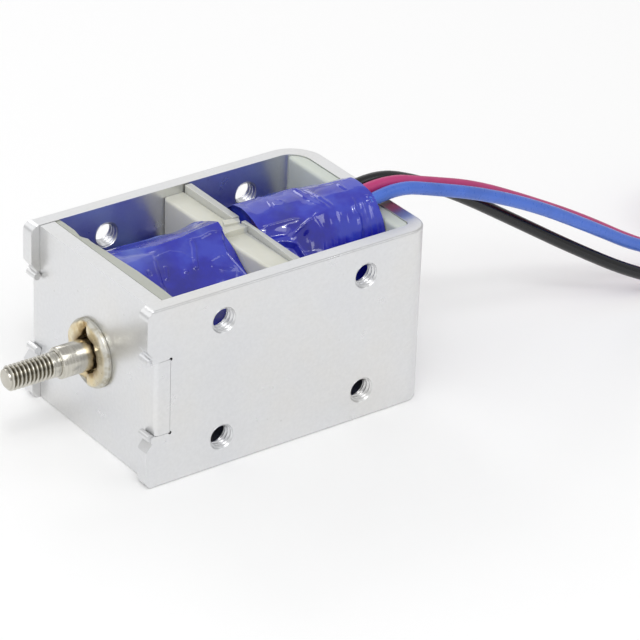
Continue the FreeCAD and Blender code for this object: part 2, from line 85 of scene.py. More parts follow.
class Finish:
    """A node material with one Principled shader, and short calls for what feeds it."""

    def __init__(self, name, colour, roughness, metallic=0.0):
        self.material = bpy.data.materials.new(name)
        self.material.use_nodes = True
        self.nodes = self.material.node_tree.nodes
        self.links = self.material.node_tree.links
        self.shader = self.nodes["Principled BSDF"]
        self.shader.inputs["Base Color"].default_value = (*colour, 1)
        self.shader.inputs["Roughness"].default_value = roughness
        self.shader.inputs["Metallic"].default_value = metallic
        self.place = self.nodes.new("ShaderNodeTexCoord").outputs["Object"]

    def stretched(self, x, y, z):
        """Object coordinates, scaled along each axis."""
        mapping = self.nodes.new("ShaderNodeMapping")
        mapping.inputs["Scale"].default_value = (x, y, z)
        self.links.new(self.place, mapping.inputs["Vector"])
        return mapping.outputs["Vector"]

    def coordinate(self, axis):
        """The object coordinate along one axis, in metres."""
        apart = self.nodes.new("ShaderNodeSeparateXYZ")
        self.links.new(self.place, apart.inputs["Vector"])
        return apart.outputs[axis]

    def off_axis(self):
        """The distance from the rod's axis, in metres."""
        across = self.nodes.new("ShaderNodeVectorMath")
        across.operation = "DISTANCE"
        across.inputs[1].default_value = (0, 0, AXIS_Z / 1000)
        self.links.new(self.stretched(0, 1, 1), across.inputs[0])
        return across.outputs["Value"]

    def noise(self, scale, detail=4.0, roughness=0.55, place=None):
        """A noise value, with scale in cycles per metre."""
        texture = self.nodes.new("ShaderNodeTexNoise")
        texture.inputs["Scale"].default_value = scale
        texture.inputs["Detail"].default_value = detail
        texture.inputs["Roughness"].default_value = roughness
        self.links.new(place or self.place, texture.inputs["Vector"])
        return texture.outputs["Fac"]

    def spots(self, scale):
        """The distance to the nearest of many scattered points."""
        texture = self.nodes.new("ShaderNodeTexVoronoi")
        texture.inputs["Scale"].default_value = scale
        self.links.new(self.place, texture.inputs["Vector"])
        return texture.outputs["Distance"]

    def ramp(self, value, stops):
        """Colours along a value, from (position, colour) stops."""
        ramp = self.nodes.new("ShaderNodeValToRGB")
        elements = ramp.color_ramp.elements
        while len(elements) < len(stops):
            elements.new(0.5)
        for element, (position, colour) in zip(elements, stops):
            element.position = position
            element.color = (*colour, 1)
        self.links.new(value, ramp.inputs["Fac"])
        return ramp.outputs["Color"]

    def level(self, value, low, high, out_low, out_high):
        """A value stretched from one range to another."""
        node = self.nodes.new("ShaderNodeMapRange")
        node.inputs["From Min"].default_value = low
        node.inputs["From Max"].default_value = high
        node.inputs["To Min"].default_value = out_low
        node.inputs["To Max"].default_value = out_high
        self.links.new(value, node.inputs["Value"])
        return node.outputs["Result"]

    def uneven(self, scale, detail, low, high):
        """A value that wanders between two others, with scale in cycles per metre."""
        return self.level(self.noise(scale, detail), 0.3, 0.7, low, high)

    def product(self, first, second):
        """Two values multiplied."""
        node = self.nodes.new("ShaderNodeMath")
        node.operation = "MULTIPLY"
        self.links.new(first, node.inputs[0])
        self.links.new(second, node.inputs[1])
        return node.outputs[0]

    def mix(self, factor, first, second, kind="MIX"):
        """Two colours mixed by a factor."""
        node = self.nodes.new("ShaderNodeMix")
        node.data_type = "RGBA"
        node.blend_type = kind
        for socket, value in ((0, factor), (6, first), (7, second)):
            if isinstance(value, (int, float)):
                node.inputs[socket].default_value = value
            elif isinstance(value, tuple):
                node.inputs[socket].default_value = (*value, 1)
            else:
                self.links.new(value, node.inputs[socket])
        return node.outputs[2]

    def feed(self, socket, value):
        """Link a value into the shader."""
        self.links.new(value, self.shader.inputs[socket])

    def bump(self, value, depth_mm, strength=1.0):
        """Raise the surface by a value, in millimetres; later calls add to earlier ones."""
        node = self.nodes.new("ShaderNodeBump")
        node.inputs["Strength"].default_value = strength
        node.inputs["Distance"].default_value = depth_mm / 1000
        self.links.new(value, node.inputs["Height"])
        previous = self.shader.inputs["Normal"].links
        if previous:
            self.links.new(previous[0].from_socket, node.inputs["Normal"])
        self.links.new(node.outputs["Normal"], self.shader.inputs["Normal"])


def zinc_finish():
    """Bright zinc plating with a clear passivated film: pale, even grey with a few fine specks."""
    finish = Finish("zinc_steel_look", (0.78, 0.78, 0.77), 0.3, 1.0)
    broad = finish.ramp(finish.noise(60, 3), [
        (0.32, (0.735, 0.742, 0.760)),
        (0.50, (0.752, 0.756, 0.762)),
        (0.68, (0.762, 0.758, 0.748)),
    ])
    mottled = finish.mix(1.0, broad, finish.uneven(1700, 4, 0.97, 1.02), "MULTIPLY")
    specks = finish.level(finish.spots(520), 0.04, 0.12, 0.34, 0.0)
    patches = finish.level(finish.noise(160, 2), 0.58, 0.64, 0.0, 1.0)
    finish.feed("Base Color", finish.mix(finish.product(specks, patches), mottled, (0.46, 0.45, 0.43)))
    finish.feed("Roughness", finish.uneven(240, 5, 0.27, 0.34))
    finish.bump(finish.noise(1.0, 5, 0.6, finish.stretched(90, 90, 3200)), 0.002, 0.4)
    finish.bump(finish.noise(300, 4), 0.006, 0.4)
    return finish.material


def nylon_finish():
    """Natural, off-white nylon moulding, with shade painted in along the part: a darker front strip, a
    darker grey band behind the seam and a greener, darker rear flange.
    """
    finish = Finish("bobbin_nylon_look", (0.72, 0.74, 0.66), 0.42)
    cloud = finish.ramp(finish.noise(120, 3), [
        (0.35, (0.93, 0.93, 0.91)),
        (0.65, (1.0, 1.0, 1.0)),
    ])
    cream = (0.640, 0.640, 0.570)
    shaded_band_tone = (0.500, 0.510, 0.500)
    # Painted shade along the axis: the front strip darker, the band behind the seam a darker cool grey, the
    # rear flange greener and darker than the cream.
    shade_along_axis = finish.ramp(finish.level(finish.coordinate("X"), -0.017, 0.033, 0.0, 1.0), [
        (0.080, (0.430, 0.445, 0.400)),
        (0.110, cream),
        (0.508, cream),
        (0.514, shaded_band_tone),
        (0.560, shaded_band_tone),
        (0.880, (0.580, 0.620, 0.570)),
    ])
    finish.feed("Base Color", finish.mix(1.0, shade_along_axis, cloud, "MULTIPLY"))
    finish.feed("Roughness", finish.uneven(900, 4, 0.34, 0.5))
    finish.shader.inputs["Subsurface Weight"].default_value = 0.25
    finish.shader.inputs["Subsurface Radius"].default_value = (1.0, 0.9, 0.7)
    finish.shader.inputs["Subsurface Scale"].default_value = 0.0012
    finish.bump(finish.noise(1500, 4), 0.01, 0.4)
    return finish.material


def tape_finish():
    """Glossy blue polyester film tape, with painted shade on the near side and a painted sheen towards the
    far side.
    """
    finish = Finish("blue_tape_look", (0.02, 0.03, 0.50), 0.1)
    shaded_near_side = finish.ramp(finish.noise(170, 3), [
        (0.38, (0.008, 0.008, 0.28)),
        (0.50, (0.011, 0.013, 0.38)),
        (0.62, (0.026, 0.042, 0.46)),
    ])
    sheen_far_side = finish.ramp(finish.noise(140, 4), [
        (0.40, (0.012, 0.018, 0.37)),
        (0.50, (0.028, 0.048, 0.45)),
        (0.62, (0.110, 0.165, 0.56)),
    ])
    # Painted light across the axis: darker on the near side, a lighter painted sheen towards the far side.
    crown = finish.level(finish.coordinate("Y"), -0.0045, 0.0045, 0.0, 1.0)
    finish.feed("Base Color", finish.mix(crown, shaded_near_side, sheen_far_side))
    finish.feed("Roughness", finish.uneven(500, 4, 0.04, 0.10))
    finish.shader.inputs["IOR"].default_value = 1.75
    finish.bump(finish.noise(330, 3), 0.05, 0.4)
    return finish.material


def brass_finish():
    """Sintered brass: a gold crown, a worn flank, a duller near side and painted shade in the mouth."""
    finish = Finish("bush_brass_look", (0.80, 0.66, 0.42), 0.3, 1.0)
    tone = finish.ramp(finish.noise(420, 4), [
        (0.30, (0.40, 0.27, 0.12)),
        (0.46, (0.70, 0.58, 0.36)),
        (0.70, (0.78, 0.73, 0.58)),
    ])
    from_axis = finish.off_axis()
    flank = finish.level(from_axis, 0.00490, 0.00525, 0.0, 1.0)
    near_side = finish.level(finish.coordinate("Y"), -0.0040, -0.0018, 0.75, 0.0)
    streaked = finish.ramp(finish.noise(700, 4), [(0.38, (0.46, 0.43, 0.34)), (0.56, (0.62, 0.61, 0.56))])
    plated = finish.mix(flank, finish.mix(near_side, tone, (0.50, 0.45, 0.34)), streaked)
    # Painted shade: darker in the mouth round the bore.
    mouth = finish.level(from_axis, 0.0028, 0.0040, 1.0, 0.0)
    finish.feed("Base Color", finish.mix(mouth, plated, (0.26, 0.18, 0.09)))
    finish.feed("Roughness", finish.mix(flank, finish.uneven(1200, 4, 0.24, 0.42), (0.46, 0.46, 0.46)))
    finish.bump(finish.noise(900, 4), 0.09, 0.8)
    return finish.material


def steel_finish(name, colour, roughness):
    """Plain turned metal, with its turning marks round the axis."""
    finish = Finish(name, colour, roughness, 1.0)
    dark = tuple(channel * 0.82 for channel in colour)
    finish.feed("Base Color", finish.ramp(finish.noise(600, 4), [(0.3, dark), (0.65, colour)]))
    finish.bump(finish.noise(1.0, 4, 0.6, finish.stretched(9000, 60, 60)), 0.004, 0.6)
    finish.feed("Roughness", finish.uneven(800, 3, roughness * 0.8, roughness * 1.25))
    return finish.material


def rod_finish():
    """Ground stainless steel, with painted shade in the roots of the rolled thread."""
    finish = Finish("rod_look", (0.60, 0.58, 0.52), 0.2, 1.0)
    # Painted shade: darker in the thread's roots, behind the tip.
    root = finish.level(finish.off_axis(), 0.00162, 0.00182, 1.0, 0.0)
    behind_tip = finish.level(finish.coordinate("X"), -0.03275, -0.03245, 0.0, 1.0)
    ground = finish.noise(1.0, 3, 0.5, finish.stretched(5200, 300, 300))
    metal = finish.ramp(ground, [(0.35, (0.53, 0.51, 0.45)), (0.62, (0.62, 0.60, 0.54))])
    finish.feed("Base Color", finish.mix(finish.product(root, behind_tip), metal, (0.13, 0.115, 0.08)))
    finish.feed("Roughness", finish.level(ground, 0.3, 0.7, 0.17, 0.25))
    return finish.material


def insulation_finish(name, colour, roughness):
    """Soft extruded insulation on a lead, faintly ribbed and scuffed."""
    finish = Finish(name, colour, roughness)
    dark = tuple(channel * 0.86 for channel in colour)
    finish.feed("Base Color", finish.ramp(finish.noise(260, 3), [(0.35, dark), (0.6, colour)]))
    finish.feed("Roughness", finish.uneven(1500, 4, roughness - 0.06, roughness + 0.08))
    finish.bump(finish.noise(1800, 3), 0.012, 0.5)
    return finish.material


def copper_finish():
    """Enamelled copper wire, wound in fine turns."""
    finish = Finish("copper_wire_look", (0.55, 0.22, 0.08), 0.3, 1.0)
    wave = finish.nodes.new("ShaderNodeTexWave")
    wave.bands_direction = "X"
    wave.inputs["Scale"].default_value = 800
    wave.inputs["Distortion"].default_value = 0.6
    finish.links.new(finish.place, wave.inputs["Vector"])
    turns = wave.outputs["Fac"]
    finish.feed("Base Color", finish.ramp(turns, [(0.1, (0.30, 0.09, 0.03)), (0.7, (0.68, 0.27, 0.10))]))
    finish.bump(turns, 0.08, 0.8)
    return finish.material


def magnet_finish():
    """Dark sintered magnet."""
    finish = Finish("magnet_look", (0.07, 0.07, 0.075), 0.5, 0.2)
    grains = finish.noise(900, 5)
    finish.feed("Base Color", finish.ramp(grains, [(0.3, (0.05, 0.05, 0.055)), (0.7, (0.10, 0.10, 0.11))]))
    finish.bump(finish.noise(1600, 4), 0.02, 0.6)
    return finish.material


looks = {
    "zinc_steel": zinc_finish(),
    "pole_steel": steel_finish("pole_steel_look", (0.62, 0.61, 0.60), 0.3),
    "stainless": rod_finish(),
    "bush_brass": brass_finish(),
    "tube_brass": steel_finish("tube_brass_look", (0.78, 0.60, 0.30), 0.28),
    "bobbin_nylon": nylon_finish(),
    "magnet": magnet_finish(),
    "copper_wire": copper_finish(),
    "blue_tape": tape_finish(),
    "spring_steel": steel_finish("spring_steel_look", (0.45, 0.44, 0.42), 0.34),
    "shim": steel_finish("shim_look", (0.80, 0.66, 0.38), 0.3),
    "blue_insulation": insulation_finish("blue_insulation_look", (0.065, 0.16, 0.61), 0.30),
    "red_insulation": insulation_finish("red_insulation_look", (0.50, 0.035, 0.17), 0.38),
    "black_insulation": insulation_finish("black_insulation_look", (0.005, 0.005, 0.006), 0.22),
    "solder": steel_finish("solder_look", (0.66, 0.66, 0.66), 0.34),
}


# Geometry helpers

def place(obj, look, body):
    """Give a new object its look and the body that it rides on."""
    obj.data.materials.clear()
    obj.data.materials.append(looks[look])
    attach(obj, body)
    return obj


def mesh_piece(name, points, faces, look, body=BODY, smooth=True):
    """A mesh from points in metres, with its look, on its body."""
    mesh = bpy.data.meshes.new(name)
    mesh.from_pydata([tuple(point) for point in points], [], faces)
    mesh.update()
    if smooth:
        mesh.polygons.foreach_set("use_smooth", [True] * len(mesh.polygons))
    return place(add_object(name, mesh), look, body)


def around_axis(x, radius, angle):
    """A point in metres at a radius from the rod's axis, with the angle from the top towards +Y."""
    return P(x, radius * math.sin(angle), AXIS_Z + radius * math.cos(angle))


def ring_points(rings, angles):
    """Points of rings round the rod's axis, as (x, radius), each one value or a list for the angles."""
    points = []
    for x, radius in rings:
        values = zip(np.broadcast_to(x, len(angles)), np.broadcast_to(radius, len(angles)), angles)
        points += [around_axis(*value) for value in values]
    return points


def turns_of(columns):
    """Even angles of one whole turn."""
    return [2 * math.pi * column / columns for column in range(columns)]


def grid_faces(rows, columns, flip=False, closed=False):
    """Quads between the rings of a grid; closed joins the last ring to the first."""
    faces = []
    for row in range(rows if closed else rows - 1):
        near, far = row * columns, (row + 1) % rows * columns
        for column in range(columns):
            after = (column + 1) % columns
            corners = (near + column, near + after, far + after, far + column)
            faces.append(corners[::-1] if flip else corners)
    return faces


def end_caps(rows, columns, flip=False):
    """One face over the first ring of a grid and one over the last."""
    first = tuple(range(columns))
    last = tuple(range((rows - 1) * columns, rows * columns))
    return [first, last[::-1]] if flip else [first[::-1], last]


# Leads: the route's points repeated from the part's source, then the turns of the coil

COIL_X = 131.0
COIL_Y = 2.3
COIL_RADIUS = 12.9
COIL_TURNS = 1.4
TURN_STEP = 2.15
POINTS_PER_TURN = 14
LEAD_DIAMETER = 2.1
LEAD_LENGTH = 200.0

lead_routes = {
    "blue": [
        (44.65, -8.4, 31.9),
        (49.6, -8.5, 33.2),
        (57.4, -8.6, 30.7),
        (67.0, -8.6, 27.3),
        (78.0, -8.6, 22.2),
        (90.0, -8.6, 15.1),
        (102.0, -8.7, 7.7),
        (113.0, -10.2, 5.2),
        (123.55, -10.6, 5.75),
    ],
    "red": [
        (44.65, -6.05, 32.45),
        (49.6, -6.1, 33.25),
        (57.4, -6.2, 30.8),
        (67.0, -6.2, 27.6),
        (78.0, -6.2, 22.0),
        (90.0, -6.2, 15.4),
        (102.5, -6.3, 7.4),
        (113.0, -9.2, 3.1),
        (123.55, -10.6, 3.55),
    ],
    "black": [
        (44.65, -3.7, 32.3),
        (49.4, -3.7, 33.2),
        (57.0, -3.7, 30.3),
        (66.0, -3.8, 25.4),
        (76.0, -5.0, 18.9),
        (87.0, -7.6, 11.8),
        (97.5, -10.4, 5.6),
        (107.5, -11.6, 1.3),
        (115.5, -10.9, 1.2),
        (123.55, -10.6, 1.35),
    ],
}


def spline_length(obj):
    """The length of a curve's own line, from Blender's evaluation of it without its thickness."""
    depth = obj.data.bevel_depth
    obj.data.bevel_depth = 0
    mesh = bpy.data.meshes.new_from_object(obj)
    obj.data.bevel_depth = depth
    points = [vertex.co.copy() for vertex in mesh.vertices]
    bpy.data.meshes.remove(mesh)
    return sum((b - a).length for a, b in zip(points, points[1:])), points


def coil_points(level, sweep):
    """A flat spiral that starts where the route arrives and winds inwards."""
    step = 2 * math.pi / POINTS_PER_TURN
    widen = 1 / math.cos(step / 2)
    count = max(2, round(sweep / step))
    points = []
    for number in range(1, count + 1):
        angle = sweep * number / count
        radius = (COIL_RADIUS - TURN_STEP * angle / (2 * math.pi)) * widen
        points.append((COIL_X + radius * math.sin(angle), COIL_Y - radius * math.cos(angle), level))
    return points


def make_cord(colour, sweep):
    """One lead as a NURBS curve through its route and its coil."""
    route = lead_routes[colour]
    level = route[-1][2]
    points = route + [(COIL_X, COIL_Y - COIL_RADIUS, level)] + coil_points(level, sweep)
    data = bpy.data.curves.new(colour + "_lead_cord", "CURVE")
    data.dimensions = "3D"
    data.resolution_u = 10
    data.bevel_depth = LEAD_DIAMETER / 2000
    data.bevel_resolution = 7
    data.use_fill_caps = True
    spline = data.splines.new("NURBS")
    spline.points.add(len(points) - 1)
    for control, point in zip(spline.points, points):
        control.co = (*P(*point), 1)
    spline.order_u = 3
    spline.use_endpoint_u = True
    return add_object(colour + "_lead_cord", data)


TIE_HEADING = math.radians(30)
TIE_RADIUS = 11.1
TIE_Z = 3.56
TIE_REACH = 2.23
TIE_RISE = 3.34
TIE_CORNER = 0.9
# The band's section, as (height over the coils, place across the band)
TIE_SECTION = [
    (0.0, -0.9), (0.0, 0.9), (0.10, 0.95), (0.17, 0.9),
    (0.20, 0.75), (0.20, -0.75), (0.17, -0.9), (0.10, -0.95),
]


def make_tie():
    """A flat tie round the three coils, at one place."""
    out_x = math.cos(TIE_HEADING)
    out_y = math.sin(TIE_HEADING)
    loop = []
    for quarter, (side_r, side_z) in enumerate(((1, 1), (-1, 1), (-1, -1), (1, -1))):
        for step in range(7):
            angle = math.radians(90 * quarter + 15 * step)
            normal_r = math.cos(angle)
            normal_z = math.sin(angle)
            radius = side_r * (TIE_REACH - TIE_CORNER) + TIE_CORNER * normal_r
            z = side_z * (TIE_RISE - TIE_CORNER) + TIE_CORNER * normal_z
            loop.append((radius, z, normal_r, normal_z))
    points = []
    for lift, across in TIE_SECTION:
        for radius, z, normal_r, normal_z in loop:
            r = TIE_RADIUS + radius + lift * normal_r
            points.append(P(COIL_X + r * out_x - across * out_y, COIL_Y + r * out_y + across * out_x,
                            TIE_Z + z + lift * normal_z))
    faces = grid_faces(len(TIE_SECTION), len(loop), closed=True)
    tie = mesh_piece("lead_tie", points, faces, "black_insulation")
    return tie


STRIP_LENGTH = 4.0
STRIP_SUNK = 0.6
STRAND_TWIST = 5.0
TIP_ROWS = 28
TIP_COLUMNS = 36


def make_tinned_end(colour, line):
    """The stripped end of a lead, past the last point of its line: seven twisted strands, tinned."""
    along = (line[-1] - line[-2]).normalized()
    side = along.cross(Vector((0, 0, 1))).normalized()
    upward = side.cross(along).normalized()
    points = []
    for row in range(TIP_ROWS):
        share = row / (TIP_ROWS - 1)
        reach = (STRIP_LENGTH + STRIP_SUNK) * share - STRIP_SUNK
        for angle in turns_of(TIP_COLUMNS):
            radius = 0.52 + 0.055 * math.cos(7 * (angle + share * STRAND_TWIST))
            if share > 0.9:
                radius *= math.sqrt(max(0.0, 1 - ((share - 0.9) / 0.1) ** 2)) * 0.98 + 0.02
            outward = side * math.cos(angle) + upward * math.sin(angle)
            points.append(line[-1] + (along * reach + outward * radius) / 1000)
    faces = grid_faces(TIP_ROWS, TIP_COLUMNS) + end_caps(TIP_ROWS, TIP_COLUMNS)
    return mesh_piece(colour + "_tinned_end", points, faces, "solder")


tie = make_tie()
for colour in lead_routes:
    sweep = 2 * math.pi * COIL_TURNS
    trial = make_cord(colour, sweep)
    length, _ = spline_length(trial)
    bpy.data.objects.remove(trial)
    sweep += (LEAD_LENGTH / 1000 - length) / ((COIL_RADIUS - TURN_STEP * COIL_TURNS) / 1000)
    cord = make_cord(colour, sweep)
    _, line = spline_length(cord)
    place(cord, colour + "_insulation", BODY)
    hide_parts(colour + "_lead", colour + "_lead_coil")
    tip = make_tinned_end(colour, line)


# Bobbins: both flanges and the core of each as one closed skin of rings round the axis

CORE_BORE = 6.49
CORE_RADIUS = 7.49
FLANGE_FOOT = 0.15
FACE_DEPTHS = (3.4, 2.6, 1.9, 1.3)
EDGE_STEPS = 5
# The x of each flange's flat face
FIRST_FRONT = 2.82
INNER_FRONT = 22.45
BAND_REAR = 27.48
LAST_FRONT = 45.70
SEAM_GAP = 0.05


def between(value, stops, period=None):
    """A value read between stops of (place, value), which may repeat after a period."""
    return np.interp(value, [stop[0] for stop in stops], [stop[1] for stop in stops], period=period)


def flange_outline(top):
    """A flange's corners, from its upper edge given from the near side to the far side."""
    return top + [(top[-1][0], FLANGE_FOOT), (top[0][0], FLANGE_FOOT)]


def outline_reach(outline, degrees):
    """How far an outline is from the axis, in each direction."""
    reach = np.zeros_like(degrees)
    ray_y, ray_z = np.sin(np.radians(degrees)), np.cos(np.radians(degrees))
    for (y, z), (after_y, after_z) in zip(outline, outline[1:] + outline[:1]):
        side_y, side_z = after_y - y, after_z - z
        cross = ray_y * side_z - ray_z * side_y
        cross = np.where(np.abs(cross) < 1e-9, 1e-9, cross)
        far = (y * side_z - (z - AXIS_Z) * side_y) / cross
        share = (y * ray_z - (z - AXIS_Z) * ray_y) / cross
        hit = (share >= -1e-6) & (share <= 1 + 1e-6) & (far > 0)
        reach = np.where(hit, np.maximum(reach, far), reach)
    return reach


def flange_rings(outline, degrees, front, rear):
    """Rings of (x, radius) out over a flange's front face, round its edge and back down its rear face.

    Front and rear each give the face's x as a function of y and z, the edge's rounding and the
    radius where the face starts.
    """
    reach = outline_reach(outline, degrees)
    turn_y, turn_z = np.sin(np.radians(degrees)), np.cos(np.radians(degrees))

    def ring(radius, face, inset):
        radius = np.broadcast_to(radius, reach.shape)
        return face(radius * turn_y, AXIS_Z + radius * turn_z) + inset, radius

    def half(face, rounding, root, inward):
        rings = [ring(root, face, 0)] + [ring(reach - depth, face, 0) for depth in FACE_DEPTHS]
        for step in range(EDGE_STEPS + 1):
            angle = math.radians(90 * step / EDGE_STEPS)
            inset = inward * rounding * (1 - math.cos(angle))
            rings.append(ring(reach - rounding * (1 - math.sin(angle)), face, inset))
        return rings

    return half(*front, 1) + half(*rear, -1)[::-1]


def flange_degrees(*outlines):
    """The directions that hold every corner of the outlines, and fill the rest evenly."""
    degrees = set(float(value) for value in np.arange(0, 360, 2.0))
    degrees |= set(float(value) % 360 for value in np.arange(-48, 48, 0.35))
    for outline in outlines:
        for y, z in outline:
            middle = math.degrees(math.atan2(y, z - AXIS_Z))
            degrees |= {(middle - 0.03) % 360, (middle + 0.03) % 360}
    return np.array(sorted(degrees))


def ring_mesh(name, rings, degrees, node, block=None):
    """A closed skin through rings round the axis, with a small block that belongs to it."""
    points = ring_points(rings, np.radians(degrees))
    faces = grid_faces(len(rings), len(degrees), closed=True)
    if block:
        corners, low_z, high_z = block
        base = len(points)
        count = len(corners)
        points += [P(x, y, z) for z in (low_z, high_z) for x, y in corners]
        faces += [tuple(range(base, base + count)), tuple(range(base + count, base + 2 * count))]
        for index in range(count):
            after = (index + 1) % count
            faces.append((base + index, base + after, base + count + after, base + count + index))
    obj = mesh_piece(name, points, faces, "bobbin_nylon", smooth=False)
    work = bmesh.new()
    work.from_mesh(obj.data)
    bmesh.ops.recalc_face_normals(work, faces=work.faces)
    work.to_mesh(obj.data)
    work.free()
    obj.data.set_sharp_from_angle(angle=math.radians(38))
    obj.data.polygons.foreach_set("use_smooth", [True] * len(obj.data.polygons))
    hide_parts(node)
    return obj


# Edges seen from above, as (y, x)
front_strip_edge = [
    (-14.75, 4.62), (-11.6, 4.76), (-5.1, 4.74), (1.0, 4.33), (2.3, 4.27), (6.6, 3.95),
    (7.5, 4.05), (8.3, 3.62), (8.9, 3.45), (10.9, 3.82), (14.1, 3.78), (14.75, 3.70),
]
middle_step = [(-14.75, 26.2), (-1.6, 26.95), (-1.5, 26.95), (2.0, 26.25), (14.75, 26.2)]


def flat(x):
    """A flange's face that lies square to the axis."""
    return lambda y, z: x + 0 * y


def step_face(gap):
    """The stepped face where the two bobbins meet, less a gap."""
    return lambda y, z: between(y, middle_step) - gap


def strip_rear(y, z):
    """The rear face of the first flange, whose upper lip is uneven."""
    lip = np.clip((z - 27.6) / 1.4, 0, 1)
    return 4.30 + (between(y, front_strip_edge) - 4.30) * lip


def rear_corner(y, z):
    """The last face, which follows the frame's two inner bends."""
    far = 44.45 + np.sqrt(np.clip(3.4 ** 2 - np.clip(y - 11.35, 0, 3.39) ** 2, 0, None))
    near = 46.75 + np.sqrt(np.clip(1.1 ** 2 - np.clip(-y - 13.65, 0, 1.1) ** 2, 0, None))
    return np.minimum(far, near)


def make_bobbins():
    """The two bobbins, whose inner flanges meet along a stepped seam."""
    strip = flange_outline([(-14.75, 29.82), (14.75, 29.82)])
    low = flange_outline([
        (-14.75, 29.20), (-1.62, 28.58), (-1.58, 29.55),
        (1.2, 29.45), (1.9, 28.90), (4.2, 28.66), (14.75, 28.58),
    ])
    band = flange_outline([
        (-14.75, 29.86), (-0.20, 29.86), (-0.16, 28.2), (1.56, 28.2), (1.60, 29.80), (14.50, 29.86),
    ])
    corner = flange_outline([(-14.75, 29.84), (14.45, 29.84)])

    degrees = flange_degrees(strip, low)
    rings = flange_rings(strip, degrees, (flat(FIRST_FRONT), 0.10, CORE_BORE),
                         (strip_rear, 0.14, CORE_RADIUS))
    rings += flange_rings(low, degrees, (flat(INNER_FRONT), 0.60, CORE_RADIUS),
                          (step_face(SEAM_GAP), 0.10, CORE_BORE))
    bridge = [(24.55, 1.75), (27.0, 1.05), (26.6, 0.0), (23.9, 0.35)]
    ring_mesh("front_bobbin_moulding", rings, degrees, "front_bobbin", block=(bridge, 29.2, 29.80))

    degrees = flange_degrees(band, corner)
    rings = flange_rings(band, degrees, (step_face(0), 0.10, CORE_BORE),
                         (flat(BAND_REAR), 0.12, CORE_RADIUS))
    rings += flange_rings(corner, degrees, (flat(LAST_FRONT), 0.70, CORE_RADIUS),
                          (rear_corner, 0.10, CORE_BORE))
    ring_mesh("rear_bobbin_moulding", rings, degrees, "rear_bobbin")


make_bobbins()


# Tape on the coils: a dense sheet round each coil, with the folds that the photograph shows

def outline_radius(stations, x, degrees):
    """The tape's distance from the axis, between stations of (x, [(degrees, radius), ...])."""
    values = [between(degrees, profile) for _, profile in stations]
    places = [station[0] for station in stations]
    result = values[0]
    for index, (low, high) in enumerate(zip(places, places[1:])):
        share = np.clip((x - low) / (high - low), 0, 1)
        blend = values[index] * (1 - share) + values[index + 1] * share
        result = np.where(x >= low, blend, result)
    return result


def along_line(x, arc, line):
    """Distance to a polyline in the unrolled tape, the side of it, and how far along it, from 0 to 1."""
    best = np.full_like(x, 1e9)
    side = np.zeros_like(x)
    share = np.zeros_like(x)
    lengths = [math.hypot(b[0] - a[0], b[1] - a[1]) for a, b in zip(line, line[1:])]
    total = sum(lengths)
    passed = 0.0
    for (a, b), length in zip(zip(line, line[1:]), lengths):
        dx, ds = (b[0] - a[0]) / length, (b[1] - a[1]) / length
        t = np.clip((x - a[0]) * dx + (arc - a[1]) * ds, 0, length)
        px, ps = x - (a[0] + dx * t), arc - (a[1] + ds * t)
        distance = np.hypot(px, ps)
        nearer = distance < best
        best = np.where(nearer, distance, best)
        side = np.where(nearer, dx * (arc - a[1]) - ds * (x - a[0]), side)
        share = np.where(nearer, (passed + t) / total, share)
        passed += length
    return best, side, share


def fold(x, arc, line, height, width, power=1.5):
    """A crease with a crisp crest that fades at its two ends."""
    distance, _, share = along_line(x, arc, line)
    taper = np.clip(np.minimum(share, 1 - share) * 5 + 0.15, 0, 1)
    crest = np.clip(1 - distance / width, 0, 1) ** power
    foot = np.clip(1 - distance / (width * 3.2), 0, 1) ** 2
    return height * taper * (0.72 * crest + 0.5 * foot)


def lap(x, arc, line, height, width):
    """A cut edge of tape: the surface is higher on the line's left, and falls off within width."""
    distance, side, share = along_line(x, arc, line)
    near = np.clip(1 - distance / width, 0, 1) ** 2
    return height * np.where(side > 0, near, 0) * np.clip(np.minimum(share, 1 - share) * 12, 0, 1)


def loop_fold(x, arc, line, height, width):
    """A flat-topped blister along a line."""
    distance, _, _ = along_line(x, arc, line)
    return height * np.clip((width - distance) / (width * 0.45), 0, 1) ** 0.8


def undulation(x, arc, height, wavelength, seed):
    """Soft, seeded unevenness."""
    chooser = random.Random(seed)
    total = np.zeros_like(x)
    count = 14
    for _ in range(count):
        heading = chooser.uniform(0, math.pi)
        wave = 2 * math.pi / (wavelength * chooser.uniform(0.6, 1.7))
        phase = chooser.uniform(0, 2 * math.pi)
        total += np.sin(wave * (x * math.cos(heading) + arc * math.sin(heading)) + phase)
    return height * total / math.sqrt(count)


def facets(x, arc, height, wavelength, seed):
    """The flat-sided crumple of a stiff film: seeded straight creases that cross."""
    chooser = random.Random(seed)
    total = np.zeros_like(x)
    count = 8
    for _ in range(count):
        heading = chooser.uniform(0, math.pi)
        wave = math.pi / (wavelength * chooser.uniform(0.7, 1.6))
        phase = chooser.uniform(0, math.pi)
        place_on = wave * (x * math.cos(heading) + arc * math.sin(heading)) + phase
        total += 1 - 2 * np.abs((place_on / math.pi) % 1 - 0.5) * 2
    return height * total / math.sqrt(count)


def smooth_over(values, steps, axis):
    """Values averaged with their neighbours a number of times."""
    for _ in range(steps):
        before = np.roll(values, 1, axis)
        after = np.roll(values, -1, axis)
        mixed = (before + 2 * values + after) / 4
        if axis == 0:
            mixed[0] = values[0]
            mixed[-1] = values[-1]
        values = mixed
    return values


MM_PER_DEGREE = 0.25
TAPE_INNER_RADIUS = 13.05
TAPE_LEAST_RADIUS = 13.35
FRONT_TAPE_FRONT = 4.36
FRONT_TAPE_REAR = 22.37
REAR_TAPE_FRONT = 27.60
REAR_TAPE_REAR = 45.62
FILM = 0.08
LIP = 0.4


def on_tape(*points):
    """Places on the unrolled tape, in millimetres, from (x, degrees from the top towards the far side)."""
    return [(x, degrees * MM_PER_DEGREE) for x, degrees in points]


